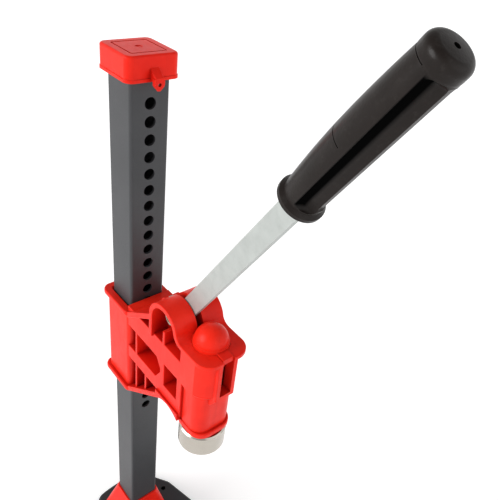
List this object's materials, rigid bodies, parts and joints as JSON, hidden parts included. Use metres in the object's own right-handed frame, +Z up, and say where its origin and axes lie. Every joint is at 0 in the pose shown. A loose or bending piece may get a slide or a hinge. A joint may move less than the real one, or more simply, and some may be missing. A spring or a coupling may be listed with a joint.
{
  "type": "bench bottle capper",
  "caption": "Bench crown-cap capper: a lever head slides on a holed square column, locks at bottle height and presses a domed piston and crimping bell down.",
  "frame": {"origin": "on the bench, at the foot of the column's axis, on the underside of the base pad", "axes": "+Z up along the column, +X from the column towards the bottle, the lever swings in the plane y = 0"},
  "size_m": [0.2651, 0.15, 0.6091],
  "materials": {
    "base_paint": "satin",
    "column_paint": "matte",
    "rubber": "matte",
    "red_plastic": "gloss",
    "zinc_steel": "satin",
    "spring_steel": "satin",
    "grip_plastic": "satin",
    "nickel": "polished",
    "magnet": "matte"
  },
  "bodies": {
    "stand": {"base_plate": "base_paint", "base_pad": "rubber", "bottle_mat": "rubber", "column_tube": "column_paint", "column_plug": "zinc_steel", "column_bolt": "zinc_steel", "column_washer": "zinc_steel", "column_foot": "red_plastic", "foot_screws": "zinc_steel", "top_cap": "red_plastic"},
    "carriage": {"carriage": "red_plastic", "pivot_bolt": "zinc_steel", "pivot_nut": "zinc_steel", "pivot_washers": "zinc_steel", "pivot_bush": "zinc_steel", "spring_washer": "zinc_steel", "return_spring": "spring_steel"},
    "lever": {"lever_bar": "zinc_steel", "grip": "grip_plastic"},
    "lock": {"lock_plate": "zinc_steel"},
    "piston": {"piston": "red_plastic", "bell": "nickel", "bell_magnet": "magnet", "bell_screw": "zinc_steel"}
  },
  "joints": [
    {"name": "carriage_slide", "type": "slide", "parent": "stand", "child": "carriage", "axis": [0, 0, 1], "range_m": [-0.1161, 0.1677]},
    {"name": "lever_hinge", "type": "hinge", "parent": "carriage", "child": "lever", "pos_m": [0.0675, 0, 0.3733], "axis": [0, 1, 0], "range_deg": [0, 72]},
    {"name": "piston_slide", "type": "slide", "parent": "carriage", "child": "piston", "axis": [0, 0, -1], "range_m": [0, 0.0283], "stiffness_N_per_m": 400, "springref_m": -0.01, "deforming": ["return_spring"]},
    {"name": "lock_slide", "type": "slide", "parent": "carriage", "child": "lock", "axis": [-1, 0, 0], "range_m": [0, 0.0091]}
  ],
  "couplings": [
    {"joint": "piston_slide", "follows": "lever_hinge", "m_per_rad": 0.02244},
    {"joint": "lock_slide", "follows": "lever_hinge", "m_per_rad": 0.007162}
  ]
}
